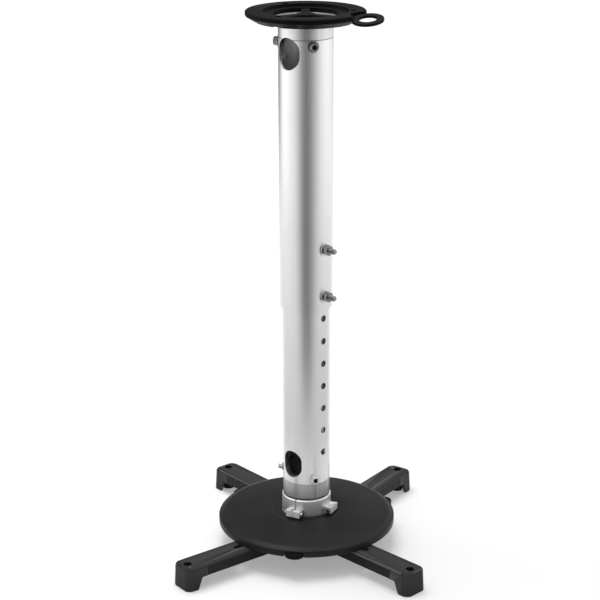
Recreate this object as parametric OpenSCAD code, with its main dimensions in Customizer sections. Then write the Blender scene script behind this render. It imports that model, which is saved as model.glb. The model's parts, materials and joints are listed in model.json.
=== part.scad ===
// Ceiling mount for a projector: a round ceiling plate, two telescoping tubes held by
// through bolts, a clamped swivel, a round cover and four adjustable arms with hollow feet.
// Millimetres. The origin is the centre of the ceiling plate's top face, +Z points up into
// the ceiling and the viewer stands on the -Y side. Angles count from -Y towards +X.

/* [Ceiling plate] */
// Diameter of the ceiling plate
plate_d = 120; // [112:1:160]
// Height of the ceiling plate from its top face to its lower face
plate_h = 10.4; // [10.2:0.1:14]
// Height of the upright edge of the plate
plate_rim_h = 3.8; // [3:0.1:5]
// Diameter of the lower face, where the tapered side ends
plate_foot_d = 100; // [98:1:108]
// Diameter of the opening in the middle of the plate
plate_opening_d = 66; // [60:1:67]
// Depth of the recess in the plate's top face
plate_recess = 3; // [1:0.1:3.2]
// Diameter of the recess in the plate's top face
plate_recess_d = 84; // [80:1:85]
// Thickness of the web that the collar's flange is screwed to
plate_web_t = 4; // [3.6:0.1:4.5]
// Width of the three spokes across the opening
spoke_w = 9; // [6:0.5:14]
// Thickness of the spokes
spoke_t = 3; // [2:0.1:3.4]
// Diameter of the circle that the ceiling screws stand on
ceiling_hole_pcd = 94; // [92:0.5:94]
// Diameter of a hole for a ceiling screw
ceiling_hole_d = 6.5; // [4:0.5:7]
// Diameter of the recess for a ceiling screw's head
ceiling_head_d = 10; // [8:0.5:10]
// Direction of the first ceiling screw
ceiling_hole_angle = 86; // [80:1:100]

/* [Safety eye] */
// Outer diameter of the eye for the safety wire
eye_d = 32; // [26:0.5:34]
// Diameter of the hole in the eye
eye_hole_d = 18; // [10:0.5:20]
// Thickness of the eye
eye_t = 3; // [2:0.5:3.5]
// How far the middle of the eye stands from the plate's axis
eye_reach = 66; // [64:0.5:72]
// Direction of the eye
eye_angle = 66; // [50:1:70]
// Depth of the eye's middle below the plate's top face
eye_depth = 5.5; // [5.4:0.1:5.8]
// Tilt of the eye, its far side up
eye_tilt = 11; // [0:1:12]

/* [Tubes] */
// Outer diameter of the upper, outer tube
outer_tube_d = 55; // [50:0.5:60]
// Length of the outer tube
outer_tube_l = 279; // [240:1:400]
// Wall of both tubes
tube_wall = 2; // [1.5:0.1:3]
// Gap all round between the inner tube and the outer tube's bore
tube_gap = 0.5; // [0.3:0.1:0.8]
// Distance from one height hole to the next
hole_pitch = 25; // [20:1:30]
// Number of height holes in the inner tube
hole_count = 10; // [8:1:12]
// Diameter of a height hole
hole_d = 7; // [6.5:0.1:8]
// Height of the first height hole above the inner tube's lower end
first_hole_h = 35; // [35:1:50]
// Length of inner tube above its last height hole
top_margin = 13; // [8:1:25]
// Which height hole, counted from 0 at the lowest, holds the lower bolt
height_setting = 7; // [2:1:7]

/* [Height bolts] */
// Diameter of a height bolt
bolt_d = 6; // [5:0.5:6]
// Height of the lower bolt above the outer tube's lower end
bolt_inset = 15; // [12:1:24]
// Number of hole pitches between the two bolts
bolt_pitches = 2; // [1:1:2]
// Direction that the bolts' nut ends point to
bolt_angle = 46; // [30:1:60]
// How far a bolt's threaded end stands out of the outer tube
bolt_stub = 14; // [9:0.5:18]

/* [Collars] */
// Height of the upper collar that shows between the plate and the outer tube
collar_h = 15.6; // [12:0.1:20]
// Height of the lower collar that shows under the inner tube
lower_collar_h = 17; // [14:0.5:24]
// Length of each collar's sleeve inside its tube
sleeve_l = 20; // [16:0.5:24]
// Wall of the sleeves
sleeve_wall = 4; // [3:0.5:5]
// Width of the upper collar's flange outside the plate's opening
flange_land = 7; // [6:0.1:7.4]
// Thickness of the upper collar's flange
flange_t = 3.2; // [2.5:0.1:3.3]
// Distance of the tube screws from the end of their tube
tube_screw_inset = 5.5; // [5:0.5:7]
// Diameter of the tube screws
tube_screw_d = 5; // [4:0.5:5]
// Direction of the first screw in the outer tube
upper_screw_angle = 15; // [10:1:20]
// Direction of the first screw in the inner tube
lower_screw_angle = 19; // [15:1:25]
// How much higher the inner tube's left screw stands than the other two
lower_screw_rise = 5; // [0:0.5:6]

/* [Cable holes] */
// Width of the cable hole near the top of the outer tube
upper_cable_w = 27; // [20:0.5:28]
// Height of the upper cable hole
upper_cable_h = 32; // [28:0.5:34]
// Distance from the outer tube's top end down to the middle of the upper cable hole
upper_cable_inset = 13.7; // [13:0.1:15]
// Direction of the upper cable hole
upper_cable_angle = -42; // [-46:1:-40]
// Width of the cable hole near the bottom of the inner tube
lower_cable_w = 23; // [18:0.5:25]
// Height of the lower cable hole
lower_cable_h = 30; // [26:0.5:31]
// Distance from the inner tube's lower end up to the middle of the lower cable hole
lower_cable_inset = 21.5; // [20:0.5:23]
// Direction of the lower cable hole
lower_cable_angle = -39; // [-42:1:-36]

/* [Swivel clamp] */
// Outer diameter of the clamp ring
clamp_d = 52.5; // [51:0.5:56]
// Height of the clamp ring
clamp_h = 18; // [16:0.5:22]
// Open groove between the lower collar and the clamp ring
clamp_groove = 2; // [1:0.5:3]
// Diameter of the two flanges that the clamp ring grips
swivel_flange_d = 42; // [40:0.5:43]
// Diameter of the necks behind the flanges
swivel_neck_d = 35; // [33:0.5:36]
// Diameter of the cable way through the swivel
swivel_bore_d = 26; // [16:0.5:27]
// Length of a clamp lug round the ring
lug_l = 16; // [14:0.5:18]
// Height of a clamp lug
lug_h = 7; // [6.5:0.5:10]
// Distance of a lug's flat face from the axis
lug_reach = 33; // [32:0.5:35]
// Open split between two clamp segments
clamp_split = 0.6; // [0.5:0.1:2]
// Directions of the three clamp lugs
lug_angles = [-27, 65, 199]; // [-40:1:210]

/* [Cover and arm plate] */
// Diameter of the round cover
cover_d = 190; // [186:1:196]
// Thickness of the cover
cover_t = 1.2; // [0.8:0.1:1.3]
// Height of the cover's upright rim above the arm plate's top face
cover_rim_h = 1.7; // [1.4:0.1:3]
// Diameter of the opening round the clamp ring
cover_opening_d = 54; // [53.5:0.5:58]
// Diameter of the arm plate without its ears
arm_plate_d = 156; // [150:1:164]
// Thickness of the arm plate
arm_plate_t = 5; // [4:0.5:6]
// Distance from the clamp ring's lower face down to the arm plate's top face
hub_drop = 9.2; // [9:0.1:12]
// Distance of the ears' ends from the axis
ear_reach = 100.5; // [98:0.5:104]
// Width of an ear
ear_w = 21; // [16:0.5:26]
// Direction of the first ear
ear_angle = -8; // [-20:1:0]
// Radius of the curved slots that the arm bolts stand in
slot_r = 62; // [60:0.5:64]
// How far round the plate each curved slot's end centres are apart
slot_span = 92; // [90:1:96]

/* [Arms] */
// Width of an arm
arm_w = 28; // [26:0.5:30]
// Height of an arm's side
arm_h = 12; // [11:0.5:14]
// Wall of the arms and feet
arm_wall = 3.2; // [2.5:0.1:4]
// Thickness of the top of the arms and feet
arm_top_t = 4; // [3:0.5:4.5]
// Rounding of an arm's upper edges
arm_round = 2.2; // [1:0.1:3]
// Height of a foot, from the projector to the top of the arm
foot_h = 24.8; // [23:0.1:45]
// How far the foot reaches past its hole at the top
foot_over = 9.2; // [9:0.1:16]
// How much wider the foot is at the bottom, on each side
foot_flare = 0.8; // [0:0.1:3]
// Diameter of the hole for the projector screw
foot_hole_d = 9; // [4:0.5:9.5]
// Diameter of the boss round that hole
foot_boss_d = 13; // [12:0.5:14]
// Distance from the foot's hole to the outer end of the arm's slot
slot_start = 62; // [58:1:66]
// Distance from the foot's hole to the inner end of the arm's slot
slot_stop = 106; // [105:1:112]
// Diameter of the arm bolts
arm_bolt_d = 6; // [5:0.5:6]
// Width of the slots over the arm bolts' diameter
slot_play = 0.6; // [0.6:0.1:1]

/* [Arm settings] */
// Direction of each arm's bolt: front left, front right, back right, back left
arm_bolt_angle = [-42.9, 36.4, 134.1, 201.9]; // [-110:0.1:215]
// Direction that each arm points to
arm_direction = [-52.3, 45, 144.5, 221]; // [-120:0.1:230]
// Distance from each arm's bolt to the hole in its foot
arm_reach = [101.7, 97.9, 104.5, 103.4]; // [66:0.1:106]

/* [Hidden] */
$fn = 96;

// A seat between two pieces that are screwed together
seat_gap = 0.1;
// A gap between two pieces that turn or slide on each other
move_gap = 0.3;
// A running fit between a bolt and its nut, on the radius
run_gap = 0.05;
// How far a cutting tool reaches past a face
over = 1;

// Levels along Z, from the ceiling down
web_end_z = -plate_recess - plate_web_t;
outer_top_z = -plate_h - collar_h;
outer_end_z = outer_top_z - outer_tube_l;
inner_end_z = outer_end_z + bolt_inset - first_hole_h - height_setting * hole_pitch;
inner_tube_l = first_hole_h + (hole_count - 1) * hole_pitch + top_margin;
collar_end_z = inner_end_z - lower_collar_h;
clamp_top_z = collar_end_z - clamp_groove;
clamp_end_z = clamp_top_z - clamp_h;
joint_z = (clamp_top_z + clamp_end_z) / 2;
arm_plate_top_z = clamp_end_z - hub_drop;
arm_plate_end_z = arm_plate_top_z - arm_plate_t;
arm_top_z = arm_plate_end_z - move_gap;
foot_end_z = arm_top_z - foot_h;
lower_bolt_z = outer_end_z + bolt_inset;

// Tube sizes that follow from the outer tube
outer_bore_d = outer_tube_d - 2 * tube_wall;
inner_tube_d = outer_bore_d - 2 * tube_gap;
inner_bore_d = inner_tube_d - 2 * tube_wall;

// Fastener proportions, as shares of the thread diameter
socket_head = 1.8;
hex_across = 1.92;
nut_high = 0.83;
washer_wide = 2.4;
washer_t = 1.1;
flange_screw_d = 4;
flange_d = plate_opening_d + 2 * flange_land;
flange_screw_r = (plate_opening_d + flange_land) / 2;
clamp_screw_d = 3;
hub_screw_d = 5;
hub_screw_r = swivel_neck_d / 2 + 5.5;

// Things spaced evenly round the axis
third = 120;
thirds = [0, third, 2 * third];
spoke_angle = 60;

black = [0.10, 0.10, 0.105];
dish_black = [0.20, 0.20, 0.205];
cast_grey = [0.55, 0.55, 0.57];
tube_silver = [0.82, 0.82, 0.83];
zinc = [0.72, 0.72, 0.74];

// Turns a child that points along -Y to a direction, at a distance and a level
module at(angle, distance, level) {
    rotate([0, 0, angle]) translate([0, -distance, level]) children();
}

// Lays a cylinder along -Y, starting at the origin
module along(d, l, sides = 48) {
    rotate([90, 0, 0]) cylinder(d = d, h = l, $fn = sides);
}

module ring(outer, inner, low, high) {
    translate([0, 0, low])
        difference() {
            cylinder(d = outer, h = high - low);
            translate([0, 0, -over]) cylinder(d = inner, h = high - low + 2 * over);
        }
}

// A cutter with round ends, standing along Z and reaching out along -Y
module cable_cutter(w, h, from, to) {
    for (end = [-1, 1])
        translate([0, -from, end * (h - w) / 2]) along(w, to - from, 64);
    translate([-w / 2, -to, -(h - w) / 2]) cube([w, to - from, h - w]);
}

// A screw whose head's seat lies at the origin, its shank pointing along +Y
module socket_screw(d, l, head_h) {
    difference() {
        union() {
            along(socket_head * d, head_h);
            mirror([0, 1, 0]) along(d, l);
        }
        translate([0, -head_h * 0.45, 0]) rotate([90, 0, 0])
            cylinder(d = d * 0.95, h = head_h, $fn = 6);
    }
}

module washer(d, t = washer_t) {
    difference() {
        along(washer_wide * d, t);
        translate([0, over, 0]) along(d + 2 * seat_gap, t + 2 * over);
    }
}

module hex_nut(d, bore) {
    difference() {
        rotate([90, 0, 0]) cylinder(d = hex_across * d, h = nut_high * d, $fn = 6);
        translate([0, over, 0]) along(bore, nut_high * d + 2 * over);
    }
}

// Ceiling plate

module plate_profile() {
    rim_r = plate_d / 2;
    opening_r = plate_opening_d / 2;
    face_r = plate_recess_d / 2;
    flange_r = flange_d / 2 + seat_gap;
    groove = 0.8;
    polygon([
        [opening_r, -plate_recess], [face_r, -plate_recess], [face_r + groove, 0],
        [rim_r - groove, 0], [rim_r, -groove], [rim_r, -plate_rim_h],
        [rim_r - groove, -plate_rim_h], [rim_r - groove, -plate_rim_h - groove],
        [rim_r - groove / 2, -plate_rim_h - groove],
        [plate_foot_d / 2, -plate_h], [flange_r, -plate_h],
        [flange_r, web_end_z], [opening_r, web_end_z]
    ]);
}

// Plan of the three spokes that cross the opening and meet in a small disc
module spoke_plan() {
    reach = plate_opening_d / 2 + over;
    circle(d = 2 * spoke_w, $fn = 48);
    for (turn = thirds)
        rotate(spoke_angle + turn)
            translate([-spoke_w / 2, -reach])
            square([spoke_w, reach]);
}

module ceiling_plate() {
    bite = 1.5;
    color(black)
        difference() {
            union() {
                rotate_extrude() plate_profile();
                translate([0, 0, -plate_recess - spoke_t - over / 2])
                    linear_extrude(spoke_t)
                    spoke_plan();
            }
            for (turn = thirds) {
                at(ceiling_hole_angle + turn, ceiling_hole_pcd / 2, -plate_h - over)
                    cylinder(d = ceiling_hole_d, h = plate_h + 2 * over);
                at(ceiling_hole_angle + turn, ceiling_hole_pcd / 2, -plate_h - over)
                    cylinder(d = ceiling_head_d, h = plate_h + over + web_end_z);
                at(turn, flange_screw_r, web_end_z - over)
                    cylinder(d = flange_screw_d + 2 * seat_gap, h = plate_web_t - 1 + over);
            }
            at(eye_angle, eye_reach, -plate_h - over)
                cylinder(d = eye_d + 2 * bite, h = plate_h + 2 * over);
            eye_tab(seat_gap);
        }
}

// Places a child at the middle of the eye, tilted as the eye is
module at_eye() {
    at(eye_angle, eye_reach, -eye_depth) rotate([0, -eye_tilt, 0]) children();
}

// The tab that holds the eye in a pocket of the plate
module eye_tab(gap) {
    tab_w = 9;
    tab_start = eye_d / 2 - 3;
    tab_l = 9;
    at_eye()
        translate([-tab_w / 2 - gap, tab_start, -eye_t / 2 - gap])
        cube([tab_w + 2 * gap, tab_l + gap, eye_t + 2 * gap]);
}

module safety_eye() {
    color(black)
        difference() {
            union() {
                at_eye() translate([0, 0, -eye_t / 2]) cylinder(d = eye_d, h = eye_t);
                eye_tab(0);
            }
            at_eye() translate([0, 0, -eye_t / 2 - over])
                cylinder(d = eye_hole_d, h = eye_t + 2 * over);
        }
}

// Upper collar

module upper_cable_cut() {
    at(upper_cable_angle, 0, outer_top_z - upper_cable_inset)
        cable_cutter(upper_cable_w, upper_cable_h, outer_tube_d / 8, outer_tube_d);
}

module upper_screw_cut(d) {
    for (turn = thirds)
        at(upper_screw_angle + turn, inner_bore_d / 4, outer_top_z - tube_screw_inset)
            along(d, outer_tube_d / 2);
}

module upper_collar() {
    sleeve_d = outer_bore_d - 2 * seat_gap;
    color(tube_silver)
        difference() {
            union() {
                translate([0, 0, web_end_z - flange_t]) cylinder(d = flange_d, h = flange_t);
                translate([0, 0, outer_top_z])
                    cylinder(d = outer_tube_d, h = web_end_z - outer_top_z);
                translate([0, 0, outer_top_z - sleeve_l])
                    cylinder(d = sleeve_d, h = sleeve_l + over);
            }
            translate([0, 0, outer_top_z - sleeve_l - over])
                cylinder(d = sleeve_d - 2 * sleeve_wall, h = plate_h + collar_h + sleeve_l);
            upper_cable_cut();
            upper_screw_cut(tube_screw_d + 2 * seat_gap);
            for (turn = thirds)
                at(turn, flange_screw_r, web_end_z - flange_t - over)
                    cylinder(d = flange_screw_d + 2 * seat_gap, h = flange_t + 2 * over);
        }
}

module collar_flange_screws() {
    head_h = 2.2;
    color(zinc)
        for (turn = thirds)
            at(turn, flange_screw_r, web_end_z - flange_t)
                rotate([90, 0, 0])
                socket_screw(flange_screw_d, flange_t + plate_web_t - 2, head_h);
}

// Outer tube and what is fixed to it

module height_hole(level, d) {
    at(bolt_angle, 0, level) rotate([90, 0, 0])
        cylinder(d = d, h = 2 * outer_tube_d, center = true, $fn = 48);
}

module outer_tube() {
    color(tube_silver)
        difference() {
            ring(outer_tube_d, outer_bore_d, outer_end_z, outer_top_z);
            upper_cable_cut();
            upper_screw_cut(tube_screw_d + 2 * seat_gap);
            for (step = [0, bolt_pitches])
                height_hole(lower_bolt_z + step * hole_pitch, bolt_d + 2 * seat_gap);
        }
}

module upper_tube_screws() {
    head_h = 4.2;
    color(zinc)
        for (turn = thirds)
            at(upper_screw_angle + turn, outer_tube_d / 2 + washer_t,
                outer_top_z - tube_screw_inset)
                socket_screw(tube_screw_d, washer_t + tube_wall + sleeve_wall, head_h);
}

module upper_tube_washers() {
    color(zinc)
        for (turn = thirds)
            at(upper_screw_angle + turn, outer_tube_d / 2, outer_top_z - tube_screw_inset)
                washer(tube_screw_d);
}

module height_bolt(level) {
    head_h = 0.67 * bolt_d;
    far = outer_tube_d / 2 + washer_t;
    color(zinc) {
        at(bolt_angle, 0, level) translate([0, far + head_h, 0]) rotate([90, 0, 0])
            cylinder(d = hex_across * bolt_d, h = head_h, $fn = 6);
        at(bolt_angle, 0, level) translate([0, far + head_h / 2, 0])
            along(bolt_d, far + head_h / 2 + outer_tube_d / 2 + bolt_stub);
    }
}

module upper_height_bolt() {
    height_bolt(lower_bolt_z + bolt_pitches * hole_pitch);
}

module lower_height_bolt() {
    height_bolt(lower_bolt_z);
}

module height_nuts() {
    color(zinc)
        for (step = [0, bolt_pitches])
            at(bolt_angle, outer_tube_d / 2 + washer_t, lower_bolt_z + step * hole_pitch)
                hex_nut(bolt_d, bolt_d);
}

module height_washers() {
    color(zinc)
        for (step = [0, bolt_pitches], side = [0, 180])
            at(bolt_angle + side, outer_tube_d / 2, lower_bolt_z + step * hole_pitch)
                washer(bolt_d);
}

// Inner tube and what is fixed to it

module lower_cable_cut() {
    at(lower_cable_angle, 0, inner_end_z + lower_cable_inset)
        cable_cutter(lower_cable_w, lower_cable_h, inner_tube_d / 8, outer_tube_d);
}

// Places a child at each screw of the inner tube, at a distance from the axis
module at_lower_screws(distance) {
    for (turn = thirds)
        at(lower_screw_angle + turn, distance,
            inner_end_z + tube_screw_inset + (turn == 2 * third ? lower_screw_rise : 0))
            children();
}

module lower_screw_cut(d) {
    at_lower_screws(inner_bore_d / 4) along(d, outer_tube_d / 2);
}

module inner_tube() {
    color(tube_silver)
        difference() {
            ring(inner_tube_d, inner_bore_d, inner_end_z, inner_end_z + inner_tube_l);
            lower_cable_cut();
            lower_screw_cut(tube_screw_d + 2 * seat_gap);
            for (step = [0 : hole_count - 1])
                height_hole(inner_end_z + first_hole_h + step * hole_pitch, hole_d);
        }
}

// A flange with a sloping back and a neck, pointing up; the seat is at the origin
module swivel_flange(neck_l) {
    flange_r = swivel_flange_d / 2;
    neck_r = swivel_neck_d / 2;
    lip = 1.6;
    slope = 3.2;
    rotate_extrude()
        polygon([
            [0, 0], [flange_r, 0], [flange_r, lip], [neck_r, lip + slope],
            [neck_r, neck_l], [0, neck_l]
        ]);
}

module lower_collar() {
    sleeve_d = inner_bore_d - 2 * seat_gap;
    color(cast_grey)
        difference() {
            union() {
                translate([0, 0, joint_z + move_gap / 2])
                    swivel_flange(collar_end_z - joint_z + over);
                translate([0, 0, collar_end_z]) cylinder(d = inner_tube_d, h = lower_collar_h);
                translate([0, 0, inner_end_z - over]) cylinder(d = sleeve_d, h = sleeve_l + over);
            }
            translate([0, 0, collar_end_z + 4])
                cylinder(d = sleeve_d - 2 * sleeve_wall, h = lower_collar_h + sleeve_l);
            translate([0, 0, joint_z - over]) cylinder(d = swivel_bore_d, h = 2 * clamp_h);
            lower_cable_cut();
            lower_screw_cut(tube_screw_d + 2 * seat_gap);
        }
}

module lower_tube_screws() {
    head_h = 4.2;
    color(zinc)
        at_lower_screws(inner_tube_d / 2 + washer_t)
        socket_screw(tube_screw_d, washer_t + tube_wall + sleeve_wall, head_h);
}

module lower_tube_washers() {
    color(zinc)
        at_lower_screws(inner_tube_d / 2)
        washer(tube_screw_d);
}

// Swivel clamp: three segments joined at their lugs grip both flanges

lug_low_z = clamp_end_z + 0.5;
clamp_screw_r = lug_reach - 0.55 * socket_head * clamp_screw_d;

module clamp_profile() {
    outer_r = clamp_d / 2;
    lip_r = swivel_neck_d / 2 + move_gap;
    groove_r = swivel_flange_d / 2 + move_gap;
    half = clamp_h / 2;
    lip = 1.6 + move_gap;
    slope = 3.2;
    bevel = 1.2;
    polygon([
        [lip_r, half], [outer_r - bevel, half], [outer_r, half - bevel],
        [outer_r, -half], [lip_r, -half], [lip_r, -lip - slope],
        [groove_r, -lip], [groove_r, lip], [lip_r, lip + slope]
    ]);
}

module clamp_ring() {
    difference() {
        union() {
            translate([0, 0, joint_z]) rotate_extrude() clamp_profile();
            for (angle = lug_angles)
                at(angle, lug_reach, lug_low_z)
                    translate([-lug_l / 2, 0, 0])
                    cube([lug_l, lug_reach - swivel_flange_d / 2 - 1.5, lug_h]);
        }
        for (angle = lug_angles)
            at(angle, clamp_screw_r, lug_low_z + lug_h / 2)
                rotate([0, 90, 0])
                cylinder(d = clamp_screw_d + 2 * seat_gap, h = 2 * lug_l, center = true, $fn = 48);
    }
}

// The part of the ring between two lugs
module clamp_segment(from, to) {
    far = 3 * clamp_d;
    color(cast_grey)
        difference() {
            clamp_ring();
            rotate([0, 0, from])
                translate([-far, -far, clamp_end_z - over])
                cube([far + clamp_split / 2, 2 * far, clamp_h + 2 * over]);
            rotate([0, 0, to])
                translate([-clamp_split / 2, -far, clamp_end_z - over])
                cube([far, 2 * far, clamp_h + 2 * over]);
        }
}

module clamp_segment_left() {
    clamp_segment(lug_angles[2], lug_angles[0] + 360);
}

module clamp_segment_right() {
    clamp_segment(lug_angles[0], lug_angles[1]);
}

module clamp_segment_back() {
    clamp_segment(lug_angles[1], lug_angles[2]);
}

module clamp_screws() {
    color(zinc)
        for (angle = lug_angles)
            at(angle, clamp_screw_r, lug_low_z + lug_h / 2)
                translate([lug_l / 2, 0, 0]) rotate([0, 0, 90])
                socket_screw(clamp_screw_d, lug_l + clamp_screw_d, clamp_screw_d);
}

module clamp_nuts() {
    color(zinc)
        for (angle = lug_angles)
            at(angle, clamp_screw_r, lug_low_z + lug_h / 2)
                translate([-lug_l / 2, 0, 0]) rotate([0, 0, -90])
                hex_nut(clamp_screw_d, clamp_screw_d);
}

// Hub, arm plate and cover

module swivel_hub() {
    base_d = 2 * (hub_screw_r + hub_screw_d);
    base_t = 5;
    color(cast_grey)
        difference() {
            union() {
                translate([0, 0, joint_z - move_gap / 2]) mirror([0, 0, 1])
                    swivel_flange(joint_z - arm_plate_top_z - over);
                translate([0, 0, arm_plate_top_z]) cylinder(d = base_d, h = base_t);
            }
            translate([0, 0, arm_plate_top_z - over]) cylinder(d = swivel_bore_d, h = 2 * clamp_h);
            for (turn = [45 : 90 : 315])
                at(turn, hub_screw_r, arm_plate_top_z - over)
                    cylinder(d = hub_screw_d, h = base_t, $fn = 48);
        }
}

module hub_screw_shape(grow) {
    head_h = 0.45 * hub_screw_d;
    for (turn = [45 : 90 : 315])
        at(turn, hub_screw_r, arm_plate_end_z - grow) {
            cylinder(d1 = socket_head * hub_screw_d + 2 * grow, d2 = hub_screw_d + 2 * grow,
                h = head_h + grow, $fn = 48);
            cylinder(d = hub_screw_d + 2 * grow, h = arm_plate_t + 3.5 + grow, $fn = 48);
        }
}

module hub_screws() {
    color(zinc)
        difference() {
            hub_screw_shape(0);
            for (turn = [45 : 90 : 315])
                at(turn, hub_screw_r, arm_plate_end_z - over)
                    cylinder(d = 0.7 * hub_screw_d, h = over + 1.6, $fn = 6);
        }
}

// Cutter for a curved slot, whose round ends are a touch wider than the slot
module arc_slot(angle) {
    slot_w = arm_bolt_d + slot_play;
    end_d = slot_w + 0.1;
    half = slot_span / 2;
    for (end = [-half, half])
        at(angle + end, slot_r, arm_plate_end_z - over)
            cylinder(d = end_d, h = arm_plate_t + 2 * over, $fn = 48);
    rotate([0, 0, angle - 90 - half])
        translate([0, 0, arm_plate_end_z - over])
        rotate_extrude(angle = slot_span)
        translate([slot_r - slot_w / 2, 0]) square([slot_w, arm_plate_t + 2 * over]);
}

// Plan of the three ears that reach past the cover, grown on every side
module ear_plan(grow) {
    ear_r = ear_reach - ear_w / 2;
    for (turn = thirds)
        rotate(ear_angle + turn) translate([0, -ear_r]) {
            circle(d = ear_w + 2 * grow, $fn = 64);
            translate([-ear_w / 2 - grow, 0]) square([ear_w + 2 * grow, ear_r - arm_plate_d / 4]);
        }
}

module arm_plate() {
    color(black)
        difference() {
            translate([0, 0, arm_plate_end_z])
                linear_extrude(arm_plate_t)
                union() {
                    circle(d = arm_plate_d);
                    ear_plan(0);
                }
            translate([0, 0, arm_plate_end_z - over])
                cylinder(d = swivel_bore_d, h = arm_plate_t + 2 * over);
            hub_screw_shape(seat_gap);
            for (turn = thirds) arc_slot(ear_angle + third / 2 + turn);
        }
}

// Height of the cover's upper face over the arm plate, for a radius
function cover_rise(r) =
    let (edge_r = cover_d / 2 - 1.5, low = cover_rim_h + 0.8, high = hub_drop,
        inner_r = cover_opening_d / 2, share = (edge_r - r) / (edge_r - inner_r))
    low + (high - low) * sin(90 * share) ^ 1.15;

// The cover's rim reaches down to the arm plate's lower face and is notched over the ears
module cover_dish() {
    edge_r = cover_d / 2;
    inner_r = cover_opening_d / 2;
    steps = 10;
    radii = [for (i = [0 : steps]) edge_r - 1.5 - (edge_r - 1.5 - inner_r) * i / steps];
    color(dish_black)
        difference() {
            translate([0, 0, arm_plate_top_z])
                rotate_extrude()
                polygon(concat(
                    [[edge_r - cover_t, -arm_plate_t], [edge_r, -arm_plate_t], [edge_r, cover_rim_h]],
                    [for (r = radii) [r, cover_rise(r)]],
                    [for (i = [steps : -1 : 1]) [radii[i], cover_rise(radii[i]) - cover_t]],
                    [[edge_r - cover_t, cover_rim_h - 0.3]]
                ));
            translate([0, 0, arm_plate_end_z - over])
                linear_extrude(arm_plate_t + over + seat_gap)
                ear_plan(2 * seat_gap);
        }
}

// Arms and their clamping bolts

module at_bolt(i) {
    at(arm_bolt_angle[i], slot_r, 0)
        rotate([0, 0, arm_direction[i] - arm_bolt_angle[i]])
        children();
}

nut_l = 15;
nut_w = 11;
nut_h = 3.1;
bolt_head_h = 3.3;
arm_washer_t = 1.2;
washer_top_z = arm_top_z - arm_top_t - move_gap;

module slot_nut(i) {
    color(zinc)
        at(arm_bolt_angle[i], slot_r, arm_plate_top_z + seat_gap)
        difference() {
            translate([-nut_l / 2, -nut_w / 2, 0]) cube([nut_l, nut_w, nut_h]);
            translate([0, 0, -over])
                cylinder(d = arm_bolt_d + 2 * run_gap, h = nut_h + 2 * over, $fn = 48);
        }
}

module arm_bolt(i) {
    seat_z = washer_top_z - arm_washer_t;
    tip_z = arm_plate_top_z + seat_gap + nut_h + 0.2;
    color(zinc)
        at_bolt(i)
        difference() {
            union() {
                translate([0, 0, seat_z - bolt_head_h])
                    cylinder(d1 = 1.35 * arm_bolt_d, d2 = 1.75 * arm_bolt_d, h = bolt_head_h / 2);
                translate([0, 0, seat_z - bolt_head_h / 2])
                    cylinder(d = 1.75 * arm_bolt_d, h = bolt_head_h / 2);
                translate([0, 0, seat_z - over]) cylinder(d = arm_bolt_d, h = tip_z - seat_z + over);
            }
            translate([0, 0, seat_z - bolt_head_h - over])
                cylinder(d = 0.75 * arm_bolt_d, h = bolt_head_h / 2 + over, $fn = 6);
        }
}

module arm_washer(i) {
    color(zinc)
        at_bolt(i)
        ring(washer_wide * arm_bolt_d, arm_bolt_d + 2 * seat_gap,
            washer_top_z - arm_washer_t, washer_top_z);
}

// Plan of the arm's straight part, from the bolt end to the foot; inset moves its edge in
module arm_plan(reach, inset) {
    end_y = slot_stop - reach;
    r = arm_w / 2 - inset;
    translate([0, end_y]) circle(r = r, $fn = 64);
    translate([-r, -reach + inset]) square([2 * r, end_y + reach - inset]);
}

module arm_section() {
    r = arm_round;
    w = arm_w / 2;
    for (side = [-1, 1]) translate([side * (w - r), -r]) circle(r = r, $fn = 32);
    translate([-w + r, -arm_h]) square([2 * (w - r), arm_h]);
    translate([-w, -arm_h]) square([2 * w, arm_h - r]);
}

// A rounded block outline at a level, for the outside and the hollow of a foot
module foot_outline(reach, inset, grow, level, h) {
    half = arm_w / 2 + grow - inset;
    corner = 7;
    r = corner - inset / 2;
    far = reach + foot_over + grow - inset;
    near = reach - foot_boss_d - 2;
    translate([0, 0, level])
        linear_extrude(h)
        union() {
            for (side = [-1, 1]) translate([side * (half - r), -far + r]) circle(r = r, $fn = 32);
            translate([-half + r, -far]) square([2 * (half - r), 2 * r]);
            translate([-half, -far + r]) square([2 * half, far - near - r]);
        }
}

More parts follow.
